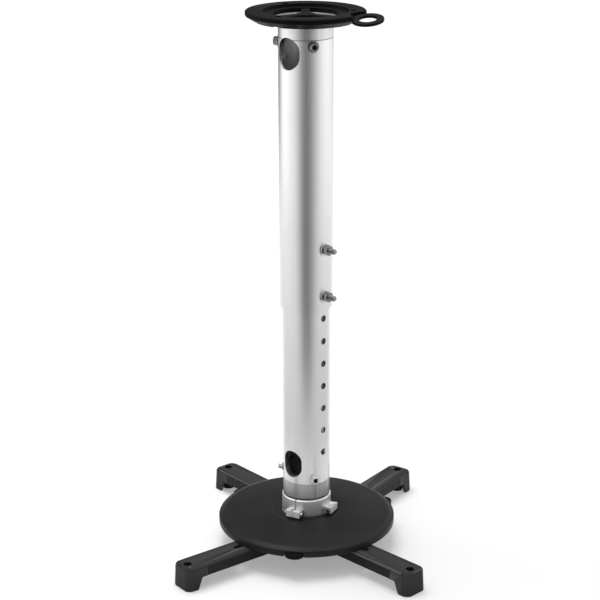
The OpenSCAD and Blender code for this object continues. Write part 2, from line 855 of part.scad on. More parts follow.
module arm(i) {
    reach = arm_reach[i];
    slot_w = arm_bolt_d + slot_play;
    slice = 0.01;
    // The foot is a hair wider than the arm, so their sides don't share a plane
    side_step = 0.05;
    skirt_low = 3;
    skirt_high = 8.5;
    side_end = arm_top_z - arm_h;
    color(black)
        at_bolt(i)
        difference() {
            union() {
                intersection() {
                    translate([0, slot_stop - reach + arm_w, arm_top_z])
                        rotate([90, 0, 0])
                        linear_extrude(slot_stop + arm_w)
                        arm_section();
                    translate([0, 0, side_end - over])
                        linear_extrude(arm_h + 2 * over) arm_plan(reach, 0);
                }
                hull() {
                    foot_outline(reach, 0, foot_flare, foot_end_z, 2);
                    foot_outline(reach, 0, side_step, arm_top_z - arm_round, slice);
                    foot_outline(reach, 0.3 * arm_round, 0, arm_top_z - 0.3 * arm_round, slice);
                    foot_outline(reach, arm_round, 0, arm_top_z - slice, slice);
                }
            }
            // Hollow of the channel and of the foot, open underneath
            translate([0, 0, side_end - over])
                linear_extrude(arm_h - arm_top_t + over) arm_plan(reach, arm_wall);
            hull() {
                foot_outline(reach, arm_wall, foot_flare, foot_end_z - over, slice);
                foot_outline(reach, arm_wall, 0, arm_top_z - arm_top_t - slice, slice);
            }
            // The foot's skirt is cut away on the side of the mount's axis
            translate([-arm_w, 0, 0]) rotate([90, 0, 90])
                linear_extrude(2 * arm_w)
                polygon([
                    [-reach + skirt_low, foot_end_z - over], [-reach + skirt_low, foot_end_z],
                    [-reach + skirt_high, side_end], [arm_w, side_end], [arm_w, foot_end_z - over]
                ]);
            // Slot for the clamping bolt
            for (end = [slot_start, slot_stop])
                translate([0, end - reach, arm_top_z - arm_h])
                    cylinder(d = slot_w, h = arm_h + over, $fn = 48);
            translate([-slot_w / 2, slot_start - reach, arm_top_z - arm_h])
                cube([slot_w, slot_stop - slot_start, arm_h + over]);
            translate([0, -reach, arm_top_z - arm_top_t - over])
                cylinder(d = foot_hole_d, h = arm_top_t + 2 * over);
        }
    color(black)
        at_bolt(i)
        translate([0, -reach, 0])
        ring(foot_boss_d, foot_hole_d, foot_end_z, arm_top_z - arm_top_t / 2);
}

module slot_nut_front_left() { slot_nut(0); }
module slot_nut_front_right() { slot_nut(1); }
module slot_nut_back_right() { slot_nut(2); }
module slot_nut_back_left() { slot_nut(3); }
module arm_bolt_front_left() { arm_bolt(0); }
module arm_bolt_front_right() { arm_bolt(1); }
module arm_bolt_back_right() { arm_bolt(2); }
module arm_bolt_back_left() { arm_bolt(3); }
module arm_washer_front_left() { arm_washer(0); }
module arm_washer_front_right() { arm_washer(1); }
module arm_washer_back_right() { arm_washer(2); }
module arm_washer_back_left() { arm_washer(3); }
module arm_front_left() { arm(0); }
module arm_front_right() { arm(1); }
module arm_back_right() { arm(2); }
module arm_back_left() { arm(3); }

ceiling_plate();
safety_eye();
upper_collar();
collar_flange_screws();
outer_tube();
upper_tube_screws();
upper_tube_washers();
upper_height_bolt();
lower_height_bolt();
height_nuts();
height_washers();
inner_tube();
lower_collar();
lower_tube_screws();
lower_tube_washers();
clamp_segment_left();
clamp_segment_right();
clamp_segment_back();
clamp_screws();
clamp_nuts();
swivel_hub();
hub_screws();
arm_plate();
cover_dish();
slot_nut_front_left();
slot_nut_front_right();
slot_nut_back_right();
slot_nut_back_left();
arm_bolt_front_left();
arm_bolt_front_right();
arm_bolt_back_right();
arm_bolt_back_left();
arm_washer_front_left();
arm_washer_front_right();
arm_washer_back_right();
arm_washer_back_left();
arm_front_left();
arm_front_right();
arm_back_right();
arm_back_left();
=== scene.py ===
import json
import math

import bmesh
import bpy
from mathutils import Matrix, Vector

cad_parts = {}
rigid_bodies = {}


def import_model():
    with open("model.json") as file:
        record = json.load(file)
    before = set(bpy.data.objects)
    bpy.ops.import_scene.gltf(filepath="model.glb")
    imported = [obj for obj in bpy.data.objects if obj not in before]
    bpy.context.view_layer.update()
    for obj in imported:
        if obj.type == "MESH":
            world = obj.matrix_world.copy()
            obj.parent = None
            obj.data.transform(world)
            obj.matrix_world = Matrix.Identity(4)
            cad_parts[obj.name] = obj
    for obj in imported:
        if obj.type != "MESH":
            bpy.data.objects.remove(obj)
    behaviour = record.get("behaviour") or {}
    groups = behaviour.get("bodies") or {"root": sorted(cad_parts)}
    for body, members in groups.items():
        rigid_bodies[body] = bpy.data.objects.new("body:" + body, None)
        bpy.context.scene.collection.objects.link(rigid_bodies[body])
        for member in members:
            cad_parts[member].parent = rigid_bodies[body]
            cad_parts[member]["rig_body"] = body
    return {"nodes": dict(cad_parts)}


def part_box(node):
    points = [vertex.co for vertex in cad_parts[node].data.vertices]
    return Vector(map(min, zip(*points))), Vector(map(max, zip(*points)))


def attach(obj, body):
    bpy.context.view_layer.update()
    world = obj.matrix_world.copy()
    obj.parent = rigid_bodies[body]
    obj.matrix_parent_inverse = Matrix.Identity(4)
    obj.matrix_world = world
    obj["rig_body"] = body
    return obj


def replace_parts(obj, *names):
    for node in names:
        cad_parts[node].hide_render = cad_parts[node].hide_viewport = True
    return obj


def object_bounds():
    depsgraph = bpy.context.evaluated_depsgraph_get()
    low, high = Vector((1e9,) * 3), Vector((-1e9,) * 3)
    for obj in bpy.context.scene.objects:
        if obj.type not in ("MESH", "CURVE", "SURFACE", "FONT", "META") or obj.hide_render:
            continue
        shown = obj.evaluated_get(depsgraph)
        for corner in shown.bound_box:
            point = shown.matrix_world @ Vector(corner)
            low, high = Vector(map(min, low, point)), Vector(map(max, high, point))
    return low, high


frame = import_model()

CAD_BOX = [list(corner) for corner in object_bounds()]
FLOOR_Z = CAD_BOX[0][2]
MM = 0.001
UP = Vector((0, 0, 1))

# ---------------------------------------------------------------- camera
# Fitted to the photograph, which is 600 x 600 pixels. Angles are in degrees.
CAM_PLACE = (0.0, -1.6878, 0.2697)
CAM_TILT = 70.264
CAM_TURN = 0.221
CAM_ROLL = -0.173
CAM_LENS = 102.62
CAM_SENSOR = 36
CAM_SHIFT_Y = 0.0531
CAM_REACH = 50


def add_object(name, data):
    thing = bpy.data.objects.new(name, data)
    bpy.context.scene.collection.objects.link(thing)
    return thing


def axis_turn(degrees, axis):
    return Matrix.Rotation(math.radians(degrees), 4, axis)


def make_camera():
    data = bpy.data.cameras.new("camera")
    data.lens = CAM_LENS
    data.sensor_width = CAM_SENSOR
    data.shift_y = CAM_SHIFT_Y
    data.clip_end = CAM_REACH
    cam = add_object("camera", data)
    turn, tilt, roll = axis_turn(CAM_TURN, "Z"), axis_turn(CAM_TILT, "X"), axis_turn(CAM_ROLL, "Z")
    cam.matrix_world = Matrix.Translation(CAM_PLACE) @ turn @ tilt @ roll
    bpy.context.scene.camera = cam


make_camera()
bpy.context.scene.view_settings.view_transform = "Standard"


# ---------------------------------------------------------------- node helpers
class Nodes:
    """Short calls for building a material's node tree."""

    # Nearly all of a noise's values lie between these
    NOISE_LOW = 0.3
    NOISE_HIGH = 0.7

    def __init__(self, name):
        self.mat = bpy.data.materials.new(name)
        self.mat.use_nodes = True
        self.tree = self.mat.node_tree
        self.tree.nodes.clear()
        self.out = self.tree.nodes.new("ShaderNodeOutputMaterial")
        self.shader = self.tree.nodes.new("ShaderNodeBsdfPrincipled")
        self.link(self.shader.outputs["BSDF"], self.out.inputs["Surface"])
        self.coord = self.tree.nodes.new("ShaderNodeTexCoord").outputs["Object"]

    def link(self, a, b):
        self.tree.links.new(a, b)

    def node(self, kind, **inputs):
        made = self.tree.nodes.new(kind)
        for name, value in inputs.items():
            self.feed(made.inputs[name.replace("_", " ")], value)
        return made

    def feed(self, socket, value):
        if isinstance(value, bpy.types.NodeSocket):
            self.link(value, socket)
        else:
            socket.default_value = value

    def stretch(self, x, y, z):
        made = self.node("ShaderNodeMapping", Vector=self.coord, Scale=(x, y, z))
        return made.outputs["Vector"]

    def noise(self, scale, detail, rough, vector=None):
        made = self.node(
            "ShaderNodeTexNoise", Vector=vector or self.coord, Scale=scale, Detail=detail, Roughness=rough
        )
        return made.outputs["Fac"]

    def cells(self, scale):
        made = self.node("ShaderNodeTexVoronoi", Vector=self.coord, Scale=scale)
        made.feature = "SMOOTH_F1"
        return made.outputs["Distance"]

    def spread(self, value, low, high, to_low=0.0, to_high=1.0):
        made = self.node(
            "ShaderNodeMapRange", Value=value, From_Min=low, From_Max=high, To_Min=to_low, To_Max=to_high
        )
        return made.outputs["Result"]

    def vary(self, noise, to_low=0.0, to_high=1.0):
        """Spreads a noise over the numbers from to_low to to_high."""
        return self.spread(noise, self.NOISE_LOW, self.NOISE_HIGH, to_low, to_high)

    def mix(self, share, a, b):
        made = self.tree.nodes.new("ShaderNodeMix")
        made.data_type = "RGBA"
        # A Mix node has inputs of the same names for each data type; these are the colour's
        for number, value in ((0, share), (6, a), (7, b)):
            self.feed(made.inputs[number], value)
        return made.outputs[2]

    def math(self, how, a, b=0.0):
        made = self.tree.nodes.new("ShaderNodeMath")
        made.operation = how
        self.feed(made.inputs[0], a)
        self.feed(made.inputs[1], b)
        return made.outputs[0]

    def length(self, vector):
        made = self.node("ShaderNodeVectorMath")
        made.operation = "LENGTH"
        self.link(vector, made.inputs[0])
        return made.outputs["Value"]

    def parts(self):
        """The three coordinates of the spot, in the shared frame."""
        return self.node("ShaderNodeSeparateXYZ", Vector=self.coord).outputs

    def edges(self):
        """Above 0.5 on ridges, below it in hollows, and 0.5 on flats."""
        return self.tree.nodes.new("ShaderNodeNewGeometry").outputs["Pointiness"]

    def bump(self, height, strength, distance, under=None):
        made = self.node("ShaderNodeBump", Strength=strength, Distance=distance, Height=height)
        if under:
            self.link(under, made.inputs["Normal"])
        return made.outputs["Normal"]

    def set(self, **values):
        for name, value in values.items():
            self.feed(self.shader.inputs[name.replace("_", " ")], value)
        return self.mat


def grey(value, tint=(0.0, 0.0, 0.0)):
    return (value + tint[0], value + tint[1], value + tint[2], 1.0)


# ---------------------------------------------------------------- materials
def make_black_plate():
    m = Nodes("black_plate")
    grain = m.noise(scale=900, detail=4, rough=0.6)
    cloud = m.noise(scale=14, detail=3, rough=0.5)
    # Painted highlight: ridges, found by pointiness, are lightened to stand in for the glints along the
    # plate's edges
    edge_wear_and_sheen = m.spread(m.edges(), low=0.53, high=0.60, to_high=0.5)
    base = m.mix(m.vary(cloud), grey(0.004), grey(0.008))
    return m.set(
        Base_Color=m.mix(edge_wear_and_sheen, base, grey(0.04)),
        Roughness=m.vary(grain, 0.40, 0.52),
        Normal=m.bump(grain, strength=0.25, distance=0.12 * MM),
        Specular_IOR_Level=0.04,
    )


def make_arm_black():
    m = Nodes("arm_black")
    cloud = m.noise(scale=22, detail=3, rough=0.5)
    # Painted highlight: ridges, found by pointiness, are lightened to stand in for the bright glints along the
    # arms' rounded upper edges
    edge_wear_and_sheen = m.spread(m.edges(), low=0.52, high=0.58, to_high=0.8)
    base = m.mix(m.vary(cloud), grey(0.014), grey(0.021))
    return m.set(
        Base_Color=m.mix(edge_wear_and_sheen, base, grey(0.14)),
        Roughness=m.vary(m.noise(scale=60, detail=2, rough=0.5), 0.34, 0.44),
        Normal=m.bump(m.cells(scale=1400), strength=0.25, distance=0.12 * MM),
        Specular_IOR_Level=0.11,
    )


def make_cover_black():
    m = Nodes("cover_black")
    cloud = m.noise(scale=9, detail=4, rough=0.55)
    cool = (0.0, -0.001, 0.001)
    return m.set(
        Base_Color=m.mix(m.vary(cloud), grey(0.017), grey(0.030, cool)),
        Roughness=m.vary(m.noise(scale=35, detail=3, rough=0.5), 0.34, 0.44),
        Normal=m.bump(m.cells(scale=1100), strength=0.22, distance=0.14 * MM),
        Specular_IOR_Level=0.11,
    )


def make_tube():
    m = Nodes("tube")
    # Fine drawing lines run along the tube, and a slow cloudiness lies over the anodised skin
    lines = m.noise(scale=1.0, detail=4, rough=0.6, vector=m.stretch(2600, 2600, 14))
    broad = m.noise(scale=1.0, detail=2, rough=0.5, vector=m.stretch(420, 420, 3))
    cloud = m.noise(scale=11, detail=3, rough=0.5)
    base = m.mix(m.vary(cloud), grey(0.78), grey(0.83))
    return m.set(
        Base_Color=m.mix(m.spread(lines, low=0.35, high=0.75, to_high=0.12), base, grey(0.62)),
        Metallic=1.0,
        Roughness=m.vary(broad, 0.30, 0.38),
        Normal=m.bump(lines, strength=0.12, distance=0.06 * MM),
    )


# Near-black painted shade for the inside of the hex sockets, standing in for the shade in the recess
def make_socket_shade():
    m = Nodes("socket")
    grain = m.noise(scale=700, detail=3, rough=0.5)
    return m.set(
        Base_Color=m.mix(m.vary(grain), grey(0.010), grey(0.020)),
        Roughness=m.vary(grain, 0.5, 0.7),
        Specular_IOR_Level=0.2,
    )


# The painted shade where collar and tube meet: its half width and where it has faded out; and the distance
# over which the painted highlight on the lugs comes in
SHADED_SEAM_HALF = 0.4 * MM
SHADED_SEAM_FADED = 0.9 * MM
LIT_LUG_FADE = 1.0 * MM


def make_cast(name, dark, light, rough_low, rough_high, shaded_seam_z=None, lit_lugs_from=None):
    """Cast alloy. A band at one height is darkened as painted shade, and beyond a radius the lugs are made
    near-white and less metallic as a painted highlight.
    """
    m = Nodes(name)
    pits = m.noise(scale=520, detail=4, rough=0.6)
    cloud = m.noise(scale=40, detail=3, rough=0.55)
    edge_wear_and_sheen = m.spread(m.edges(), low=0.52, high=0.60, to_high=0.5)
    base = m.mix(edge_wear_and_sheen, m.mix(m.vary(cloud), grey(dark), grey(light)), grey(0.86))
    metallic = 1.0
    if shaded_seam_z is not None:
        # Painted shade: a near-black band at the height where the collar meets the tube
        off = m.math("ABSOLUTE", m.math("SUBTRACT", m.parts()["Z"], shaded_seam_z))
        base = m.mix(m.spread(off, SHADED_SEAM_HALF, SHADED_SEAM_FADED), grey(0.10), base)
    if lit_lugs_from is not None:
        # Painted highlight: beyond the radius the lugs turn near-white and less metallic, standing in for the
        # light they catch
        from_axis = m.length(m.stretch(1, 1, 0))
        base = m.mix(m.spread(from_axis, lit_lugs_from, lit_lugs_from + LIT_LUG_FADE), base, grey(0.92))
        metallic = m.spread(from_axis, lit_lugs_from, lit_lugs_from + LIT_LUG_FADE, to_low=1.0, to_high=0.1)
    grain = m.bump(m.cells(scale=1600), strength=0.15, distance=0.1 * MM)
    return m.set(
        Base_Color=base,
        Metallic=metallic,
        Roughness=m.vary(pits, rough_low, rough_high),
        Normal=m.bump(pits, strength=0.20, distance=0.16 * MM, under=grain),
    )


def make_zinc():
    m = Nodes("zinc")
    cloud = m.noise(scale=160, detail=3, rough=0.5)
    fine = m.noise(scale=1.0, detail=3, rough=0.5, vector=m.stretch(2200, 2200, 300))
    warm = (0.01, 0.008, 0.0)
    base = m.mix(m.vary(cloud), grey(0.22), grey(0.34, warm))
    # Painted shade: the hollows found by pointiness, the thread roots and the hex sockets, are darkened
    hollow_shade = m.spread(m.edges(), low=0.42, high=0.49)
    return m.set(
        Base_Color=m.mix(hollow_shade, grey(0.05), base),
        Metallic=1.0,
        Roughness=m.vary(fine, 0.20, 0.32),
        Normal=m.bump(fine, strength=0.10, distance=0.05 * MM),
    )


MATERIALS = {
    "black_plate": make_black_plate(),
    "collar_cast": make_cast(
        "collar_cast", dark=0.66, light=0.76, rough_low=0.30, rough_high=0.42, shaded_seam_z=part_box("outer_tube")[1].z
    ),
    "tube": make_tube(),
    "zinc": make_zinc(),
    "socket": make_socket_shade(),
    "clamp_cast": make_cast(
        "clamp_cast", dark=0.70, light=0.82, rough_low=0.40, rough_high=0.54, lit_lugs_from=29.5 * MM
    ),
    # A darker copy of the collar's cast for the lower collar: painted shade for the shade and dark reflections
    # it lies in near the cover
    "shaded_collar_cast": make_cast("shaded_collar_cast", dark=0.36, light=0.50, rough_low=0.30, rough_high=0.44),
    "cover_black": make_cover_black(),
    "arm_black": make_arm_black(),
}


# ---------------------------------------------------------------- pieces
BODY_OF = {name: frame["nodes"][name]["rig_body"] for name in frame["nodes"]}


def put(name, mesh, body, slot, look=None):
    """A new piece from a mesh, on a body, in a slot's finish or in a look of its own."""
    piece = add_object(name, mesh)
    mesh.materials.clear()
    mesh.materials.append(MATERIALS[look or slot])
    for face in mesh.polygons:
        face.use_smooth = True
    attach(piece, body)
    return piece


def outward(angle):
    """The level direction at an angle in degrees, counted from the viewer's side towards +X."""
    a = math.radians(angle)
    return Vector((math.sin(a), -math.cos(a), 0))


def place_at(angle, distance, level):
    """A local frame whose Z axis points away from the main axis."""
    out = outward(angle)
    across = UP.cross(out)
    spot = out * distance + UP * level
    rows = [(across[i], UP[i], out[i], spot[i]) for i in range(3)]
    return Matrix(rows + [(0, 0, 0, 1)])


# ---------------------------------------------------------------- turned pieces
TURNED_SHARP = math.radians(28)


def spin(bm, place, rings, sides, closed=False, shaded_from=None):
    """Joins rings into a turned body. Each ring is a function of the angle that gives (radius, height).

    From the given ring on, the faces take the piece's second material, the near-black painted shade for the
    inside of a socket.
    """
    loops = []
    for ring in rings:
        loop = []
        for k in range(sides):
            a = 2 * math.pi * k / sides
            r, z = ring(a)
            loop.append(bm.verts.new(place @ Vector((r * math.cos(a), r * math.sin(a), z))))
        loops.append(loop)
    pairs = list(zip(loops, loops[1:]))
    if closed:
        pairs.append((loops[-1], loops[0]))
    for i, (low, high) in enumerate(pairs):
        for k in range(sides):
            n = (k + 1) % sides
            face = bm.faces.new((low[k], low[n], high[n], high[k]))
            face.material_index = int(shaded_from is not None and i >= shaded_from)
    if not closed:
        bm.faces.new(list(reversed(loops[0])))
        bm.faces.new(loops[-1]).material_index = int(shaded_from is not None)


def circle(r, z):
    return lambda a: (r, z)


def hexagon(across, z, dip=0.0):
    """A six-sided ring; dip lowers its corners as the chamfer of a nut does."""
    half = across / 2
    sixth = math.pi / 3

    def ring(a):
        r = half / math.cos((a + sixth / 2) % sixth - sixth / 2)
        return r, z - dip * (r - half)

    return ring


KNURL_TEETH = 30


def knurl(r, depth, z):
    return lambda a: (r - depth * (0.5 + 0.5 * math.cos(KNURL_TEETH * a)), z)


THREAD_PITCH = 1.0 * MM
THREAD_STEPS = 6


def thread(core, outer, low, high):
    """Rings of a screw thread between two heights, running out at its tip."""
    rings = []
    count = int((high - low) / THREAD_PITCH * THREAD_STEPS)
    for i in range(count + 1):
        z = low + (high - low) * i / count

        def ring(a, z=z):
            wave = (z / THREAD_PITCH - a / (2 * math.pi)) % 1.0
            crest = min(1.0, max(0.0, 2.2 * abs(wave - 0.5) - 0.05))
            fade = min(1.0, (high - z) / THREAD_PITCH + 0.15)
            return core + (outer - core) * crest * fade, z

        rings.append(ring)
    return rings


def turned_piece(name, body, slot, build, look=None):
    """A piece whose mesh is made of turned bodies."""
    bm = bmesh.new()
    build(bm)
    bmesh.ops.recalc_face_normals(bm, faces=bm.faces)
    mesh = bpy.data.meshes.new(name + "_mesh")
    bm.to_mesh(mesh)
    bm.free()
    # put() sets the faces back to the first material
    dark = [face.index for face in mesh.polygons if face.material_index]
    piece = put(name, mesh, body, slot, look)
    # The marked faces take the near-black painted shade for the inside of the sockets
    if dark:
        mesh.materials.append(MATERIALS["socket"])
        for i in dark:
            mesh.polygons[i].material_index = 1
    mesh.set_sharp_from_angle(angle=TURNED_SHARP)
    return piece


def middle_z(node):
    low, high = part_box(node)
    return (low.z + high.z) / 2


def outer_radius(node):
    low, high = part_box(node)
    return (high.x - low.x) / 2


OUTER_R = outer_radius("outer_tube")
INNER_R = outer_radius("inner_tube")

# The cap screws through the tubes
THIRDS = (0, 120, 240)
UPPER_SCREW_ANGLE = 15
LOWER_SCREW_ANGLE = 19
UPPER_RISES = (0, 0, 0)
LOWER_RISES = (0, 0, 5 * MM)
SCREW_HEAD_R = 4.5 * MM
SCREW_HEAD_H = 4.2 * MM
SCREW_SHANK_R = 2.45 * MM
SCREW_SHANK_L = 7.0 * MM
SCREW_WASHER_R = 6.0 * MM
SCREW_WASHER_BORE = 2.6 * MM
WASHER_T = 1.1 * MM
WASHER_EDGE = 0.18 * MM

# The through bolts that hold the tubes at a height
BOLT_ANGLE = 46
BOLT_R = 3.0 * MM
BOLT_D = 2 * BOLT_R
BOLT_CORE_R = 0.84 * BOLT_R
BOLT_STUB = 14 * MM
THREAD_INSIDE = 4 * MM
HEAD_H = 0.67 * BOLT_D
NUT_H = 0.83 * BOLT_D
HEX_ACROSS = 1.92 * BOLT_D * math.cos(math.pi / 6)
HEX_FACE_R = 0.47 * HEX_ACROSS
BOLT_WASHER_R = 7.2 * MM
BOLT_WASHER_PLAY = 0.1 * MM
BOLT_LEVELS = (middle_z("lower_height_bolt"), middle_z("upper_height_bolt"))


def socket_head(bm, place):
    """A knurled cap screw: its seat at the local origin, its head pointing out."""
    r, h = SCREW_HEAD_R, SCREW_HEAD_H
    socket = 1.06 * r
    shank = [circle(SCREW_SHANK_R, -SCREW_SHANK_L), circle(SCREW_SHANK_R, -0.1 * MM)]
    side = [
        circle(r * 0.94, 0), circle(r, 0.25 * MM),
        knurl(r, 0.22 * MM, 0.5 * MM), knurl(r, 0.22 * MM, h - 0.9 * MM),
        circle(r * 0.985, h - 0.6 * MM), circle(r * 0.93, h - 0.2 * MM),
    ]
    top = [circle(r * 0.85, h), circle(r * 0.66, h)]
    hole = [
        hexagon(socket, h - 0.25 * MM), hexagon(socket * 0.98, h * 0.5), circle(r * 0.2, h * 0.38),
    ]
    outside = shank + side + top
    # The socket's walls and bottom take the painted shade
    spin(bm, place, outside + hole, sides=120, shaded_from=len(outside))


def washer(bm, place, outer, inner):
    t, edge = WASHER_T, WASHER_EDGE
    spin(bm, place, [
        circle(inner, 0), circle(outer - edge, 0), circle(outer, edge), circle(outer, t - edge),
        circle(outer - edge, t), circle(inner + edge, t), circle(inner, t - edge),
    ], sides=64, closed=True)


def tube_screws(node, washers, first_angle, radius, rises, look=None):
    """Three cap screws round a tube, each with its washer and its own rise."""
    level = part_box(node)[0].z + SCREW_HEAD_R

    def heads(bm):
        for turn, rise in zip(THIRDS, rises):
            socket_head(bm, place_at(first_angle + turn, radius + WASHER_T, level + rise))

    def rings(bm):
        for turn, rise in zip(THIRDS, rises):
            place = place_at(first_angle + turn, radius, level + rise)
            washer(bm, place, SCREW_WASHER_R, SCREW_WASHER_BORE)

    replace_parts(turned_piece(node + "_turned", BODY_OF[node], "zinc", heads, look), node)
    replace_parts(turned_piece(washers + "_turned", BODY_OF[washers], "zinc", rings, look), washers)


def height_bolt(level):
    def build(bm):
        seat = OUTER_R + WASHER_T
        back = -seat - HEAD_H
        tip = OUTER_R + BOLT_STUB
        thread_start = OUTER_R - THREAD_INSIDE
        head = [
            circle(HEX_ACROSS * 0.3, back), circle(HEX_FACE_R, back),
            hexagon(HEX_ACROSS, back, dip=-0.5), hexagon(HEX_ACROSS, -seat - 0.1 * MM),
        ]
        shank = [circle(BOLT_R, -seat), circle(BOLT_R, thread_start)]
        stub = thread(BOLT_CORE_R, BOLT_R, thread_start, tip - 0.6 * MM)
        end = [circle(BOLT_CORE_R, tip - 0.5 * MM), circle(BOLT_R * 0.68, tip)]
        spin(bm, place_at(BOLT_ANGLE, 0, level), head + shank + stub + end, sides=48)
    return build


def height_nuts(bm):
    for level in BOLT_LEVELS:
        spin(bm, place_at(BOLT_ANGLE, OUTER_R + WASHER_T, level), [
            circle(BOLT_R, 0), circle(HEX_FACE_R, 0),
            hexagon(HEX_ACROSS, NUT_H * 0.02, dip=-0.5), hexagon(HEX_ACROSS, NUT_H, dip=0.55),
            circle(HEX_FACE_R, NUT_H), circle(BOLT_R + 0.4 * MM, NUT_H), circle(BOLT_R, NUT_H - 0.4 * MM),
        ], sides=96, closed=True)


def height_washers(bm):
    for level in BOLT_LEVELS:
        for side in (0, 180):
            washer(bm, place_at(BOLT_ANGLE + side, OUTER_R, level), BOLT_WASHER_R, BOLT_R + BOLT_WASHER_PLAY)


tube_screws("upper_tube_screws", "upper_tube_washers", UPPER_SCREW_ANGLE, OUTER_R, UPPER_RISES)
tube_screws("lower_tube_screws", "lower_tube_washers", LOWER_SCREW_ANGLE, INNER_R, LOWER_RISES, "tube")
for node, level in zip(("lower_height_bolt", "upper_height_bolt"), BOLT_LEVELS):
    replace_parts(turned_piece(node + "_turned", BODY_OF[node], "zinc", height_bolt(level)), node)
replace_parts(turned_piece("height_nuts_turned", BODY_OF["height_nuts"], "zinc", height_nuts), "height_nuts")
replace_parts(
    turned_piece("height_washers_turned", BODY_OF["height_washers"], "zinc", height_washers, "tube"),
    "height_washers",
)

# The cover's rim is notched over the arm plate's three ears
EAR_ANGLES = (-8, 112, 232)
EAR_HALF = 10.7 * MM


def cover(bm):
    """The cover, spun from one smooth profile."""
    low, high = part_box("cover_dish")
    edge_r = (high.x - low.x) / 2
    inner_r = 27.0 * MM
    plate_t = 5.0 * MM
    wall = 1.2 * MM
    rim_h = 1.7 * MM
    top_r = edge_r - 1.5 * MM
    top_z = rim_h + 0.8 * MM
    shoulder_r, shoulder_z = edge_r - 9 * MM, 4.9 * MM
    centre_z = 9.15 * MM
    well_r, well_wide, well_deep = 38 * MM, 3 * MM, 1.3 * MM
    notch = math.asin(EAR_HALF / edge_r)
    notch_top = 0.1 * MM
    steps = 44

    def rise(r):
        """A rounded shoulder along the rim, a gentle slope, and a shallow well round the clamp ring."""
        if r > shoulder_r:
            share = (top_r - r) / (top_r - shoulder_r)
            return top_z + (shoulder_z - top_z) * math.sin(math.pi / 2 * share) ** 0.9
        share = (shoulder_r - r) / (shoulder_r - inner_r)
        slope = shoulder_z + (centre_z - shoulder_z) * math.sin(math.pi / 2 * share)
        step = min(1.0, max(0.0, (well_r + well_wide / 2 - r) / well_wide))
        return slope - well_deep * step * step * (3 - 2 * step)

    def skirt(r, z):
        def ring(a):
            for ear in EAR_ANGLES:
                off = (a - math.radians(ear - 90) + math.pi) % (2 * math.pi) - math.pi
                if abs(off) < notch:
                    return r, notch_top + z
            return r, z - plate_t
        return ring

    radii = [top_r - (top_r - inner_r) * i / steps for i in range(steps + 1)]
    rim = [
        skirt(edge_r - wall, 0), skirt(edge_r - 0.3 * MM, 0), skirt(edge_r, 0.3 * MM),
        circle(edge_r, rim_h - 0.2 * MM), circle(edge_r - 0.25 * MM, rim_h + 0.35 * MM),
        circle(edge_r - 0.8 * MM, rim_h + 0.7 * MM),
    ]
    top = [circle(r, rise(r)) for r in radii]
    lip = [circle(inner_r, rise(inner_r) - 0.5 * wall)]
    under = [circle(r, rise(r) - wall) for r in reversed(radii)]
    inside = [circle(edge_r - wall, rim_h - 0.3 * MM)]
    place = Matrix.Translation((0, 0, low.z + plate_t))
    spin(bm, place, rim + top + lip + under + inside, sides=720, closed=True)


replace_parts(turned_piece("cover_spun", BODY_OF["cover_dish"], "cover_black", cover), "cover_dish")


# ---------------------------------------------------------------- pieces made from the CAD meshes
ARMS = ("front_left", "front_right", "back_right", "back_left")

# Finish, and edge rounding in millimetres, of each node that keeps its CAD shape
FINISH = {
    "ceiling_plate": ("black_plate", 0.6),
    "safety_eye": ("black_plate", 0.7),
    "upper_collar": ("collar_cast", 0.8),
    "collar_flange_screws": ("zinc", 0.2),
    "outer_tube": ("tube", 0.4),
    "inner_tube": ("tube", 0.45),
    "lower_collar": ("collar_cast", 0.5),
    "clamp_segment_left": ("clamp_cast", 1.0),
    "clamp_segment_right": ("clamp_cast", 1.0),
    "clamp_segment_back": ("clamp_cast", 1.0),
    "clamp_screws": ("zinc", 0.3),
    "clamp_nuts": ("zinc", 0.4),
    "swivel_hub": ("clamp_cast", 0.4),
    "hub_screws": ("zinc", 0.2),
    "arm_plate": ("black_plate", 0.4),
}
for kind, finish in (
    ("slot_nut", ("zinc", 0.3)),
    ("arm_bolt", ("zinc", 0.3)),
    ("arm_washer", ("zinc", 0.2)),
    ("arm", ("arm_black", 0.8)),
):
    FINISH.update({f"{kind}_{arm}": finish for arm in ARMS})

# The lower collar keeps the collar's finish but takes a darker copy of its cast, as painted shade
LOOKS = {"lower_collar": "shaded_collar_cast"}
ROUND_WALLS = {
    "ceiling_plate", "upper_collar", "outer_tube", "inner_tube", "lower_collar", "clamp_segment_left",
    "clamp_segment_right", "clamp_segment_back", "swivel_hub", "arm_plate",
}
LUG_ANGLES = (-27, 65, 199)
SPLIT_HALF = 0.35 * MM
SHARP = math.radians(32)
BEVEL_SEGMENTS = 2
SHADING_WEIGHT = 50
JOIN_WITHIN = 0.002 * MM
FLAT_WITHIN = math.radians(0.6)
FACET_COS = math.cos(math.radians(2.6))
NEAR_AXIS = 8 * MM
LEAST_SIDEWAYS = 0.2


def clean_copy(node):
    """The node's mesh with its split corners joined and its flat faces made whole."""
    bm = bmesh.new()
    bm.from_mesh(frame["nodes"][node].data)
    bmesh.ops.remove_doubles(bm, verts=bm.verts, dist=JOIN_WITHIN)
    bmesh.ops.dissolve_limit(bm, angle_limit=FLAT_WITHIN, verts=bm.verts, edges=bm.edges, delimit=set())
    mesh = bpy.data.meshes.new(node + "_mesh")
    bm.to_mesh(mesh)
    bm.free()
    return mesh


def at_split(edge):
    """True for an edge of the closed joint between two clamp segments."""
    for angle in LUG_ANGLES:
        out = outward(angle)
        across = UP.cross(out)
        if all(abs(v.co.dot(across)) < SPLIT_HALF and v.co.dot(out) > 0 for v in edge.verts):
            return True
    return False


